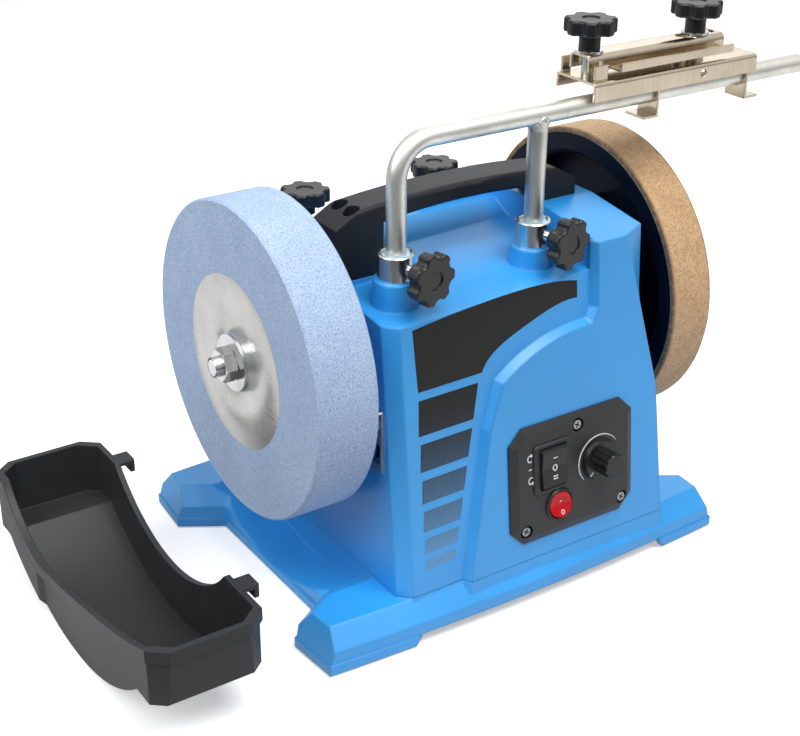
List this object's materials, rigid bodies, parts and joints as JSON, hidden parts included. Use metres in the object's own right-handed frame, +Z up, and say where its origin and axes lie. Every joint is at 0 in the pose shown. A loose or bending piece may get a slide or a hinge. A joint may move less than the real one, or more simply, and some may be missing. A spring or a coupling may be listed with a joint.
{
  "type": "wet sharpening machine",
  "caption": "Bench wet grinder: slow stone and leather honing wheel on one shaft, moulded housing, tool support bar with clamping jig, speed control and lift-off water trough.",
  "frame": {"origin": "on the bench, under the middle of the machine and its trough together", "axes": "+X from the stone to the honing wheel along the shaft, -Y towards the operator at the control panel, +Z up"},
  "size_m": [0.5156, 0.2525, 0.3514],
  "materials": {
    "blue_plastic": "satin moulded plastic",
    "black_plastic": "fine-grained moulded plastic",
    "red_plastic": "clear red moulded plastic",
    "liner_plastic": "pale moulded plastic",
    "green_board": "glass-fibre board",
    "stone": "matte vitrified abrasive",
    "steel": "zinc plated",
    "nickel_sheet": "bright nickel-plated sheet",
    "chrome": "polished",
    "bronze": "sintered bronze",
    "leather": "suede",
    "rubber": "matte rubber",
    "motor_paint": "satin dark paint"
  },
  "bodies": {
    "housing": {"housing": "blue_plastic", "base": "blue_plastic", "bottom_cover": "black_plastic", "cover_screws": "steel", "rubber_foot_1": "rubber", "rubber_foot_2": "rubber", "rubber_foot_3": "rubber", "rubber_foot_4": "rubber", "carry_handle": "black_plastic", "handle_screws": "steel", "control_panel": "black_plastic", "panel_screws": "steel", "direction_switch": "black_plastic", "power_switch": "black_plastic", "potentiometer": "black_plastic", "control_board": "green_board", "motor": "motor_paint", "motor_bracket": "steel", "bracket_screws": "steel", "shaft_bushes": "bronze", "sleeve_liners": "liner_plastic", "collar_front_left": "chrome", "collar_front_right": "chrome", "collar_rear_left": "chrome", "collar_rear_right": "chrome", "trough_hangers": "steel", "hanger_screws": "steel", "cord_gland": "black_plastic"},
    "spindle": {"main_shaft": "steel", "grinding_stone": "stone", "stone_flange": "steel", "shaft_circlip": "steel", "clamp_washers": "steel", "stone_nut": "steel", "honing_nut": "steel", "honing_wheel": "black_plastic", "leather_band": "leather"},
    "rotor": {"motor_shaft": "steel", "drive_roller": "rubber"},
    "support": {"support_bar": "steel", "support_leg": "steel"},
    "jig": {"jig_base": "nickel_sheet", "jig_studs": "steel"},
    "jig_clamp": {"jig_clamp": "nickel_sheet", "jig_washers": "steel"},
    "jig_knob_left": {"jig_knob_left": "black_plastic"},
    "jig_knob_right": {"jig_knob_right": "black_plastic"},
    "direction_rocker": {"direction_rocker": "black_plastic"},
    "power_rocker": {"power_rocker": "red_plastic"},
    "speed_knob": {"speed_knob": "black_plastic", "pot_shaft": "steel"},
    "trough": {"water_trough": "black_plastic"},
    "star_knob_front_left": {"star_knob_front_left": "black_plastic", "clamp_screw_front_left": "steel"},
    "star_knob_front_right": {"star_knob_front_right": "black_plastic", "clamp_screw_front_right": "steel"},
    "star_knob_rear_left": {"star_knob_rear_left": "black_plastic", "clamp_screw_rear_left": "steel"},
    "star_knob_rear_right": {"star_knob_rear_right": "black_plastic", "clamp_screw_rear_right": "steel"}
  },
  "joints": [
    {"name": "wheel_spin", "type": "hinge", "parent": "housing", "child": "spindle", "pos_m": [0.0138, 0.0048, 0.159], "axis": [1, 0, 0], "continuous": true},
    {"name": "roller_spin", "type": "hinge", "parent": "housing", "child": "rotor", "pos_m": [0.1138, 0.04675, 0.10333], "axis": [1, 0, 0], "continuous": true},
    {"name": "support_height", "type": "slide", "parent": "housing", "child": "support", "axis": [0, 0, 1], "range_m": [-0.03, 0.045]},
    {"name": "jig_slide", "type": "slide", "parent": "support", "child": "jig", "axis": [1, 0, 0], "range_m": [-0.05, 0.03]},
    {"name": "clamp_close", "type": "slide", "parent": "jig", "child": "jig_clamp", "axis": [0, 0, -1], "range_m": [0, 0.00375]},
    {"name": "jig_knob_left_turn", "type": "hinge", "parent": "jig_clamp", "child": "jig_knob_left", "pos_m": [0.0828, -0.0512, 0.34], "axis": [0, 0, -1], "range_deg": [0, 1080]},
    {"name": "jig_knob_right_turn", "type": "hinge", "parent": "jig_clamp", "child": "jig_knob_right", "pos_m": [0.1688, -0.0512, 0.34], "axis": [0, 0, -1], "range_deg": [0, 1080]},
    {"name": "direction_rock", "type": "hinge", "parent": "housing", "child": "direction_rocker", "pos_m": [0.0247, -0.10558, 0.09133], "axis": [1, 0, 0], "range_deg": [-12, 12]},
    {"name": "power_rock", "type": "hinge", "parent": "housing", "child": "power_rocker", "pos_m": [0.03, -0.11049, 0.06369], "axis": [1, 0, 0], "range_deg": [0, 16]},
    {"name": "speed_turn", "type": "hinge", "parent": "housing", "child": "speed_knob", "pos_m": [0.0628, -0.10924, 0.08518], "axis": [0, 0.9945, -0.1045], "range_deg": [0, 270]},
    {"name": "trough_dock", "type": "slide", "parent": "housing", "child": "trough", "axis": [0.9787, 0.1138, 0.1707], "range_m": [0, 0.0878]},
    {"name": "star_knob_front_left_turn", "type": "hinge", "parent": "housing", "child": "star_knob_front_left", "pos_m": [-0.06, -0.0592, 0.228], "axis": [0.1908, -0.9816, 0], "range_deg": [0, 540]},
    {"name": "star_knob_front_right_turn", "type": "hinge", "parent": "housing", "child": "star_knob_front_right", "pos_m": [0.04, -0.0592, 0.228], "axis": [0.1908, -0.9816, 0], "range_deg": [0, 540]},
    {"name": "star_knob_rear_left_turn", "type": "hinge", "parent": "housing", "child": "star_knob_rear_left", "pos_m": [-0.0522, 0.0575, 0.208], "axis": [0, 0, 1], "range_deg": [0, 540]},
    {"name": "star_knob_rear_right_turn", "type": "hinge", "parent": "housing", "child": "star_knob_rear_right", "pos_m": [0.0478, 0.0575, 0.208], "axis": [0, 0, 1], "range_deg": [0, 540]}
  ],
  "couplings": [
    {"joint": "roller_spin", "follows": "wheel_spin", "ratio": 6.8333},
    {"joint": "jig_knob_left_turn", "follows": "clamp_close", "rad_per_m": 5026.5},
    {"joint": "jig_knob_right_turn", "follows": "clamp_close", "rad_per_m": 5026.5}
  ]
}
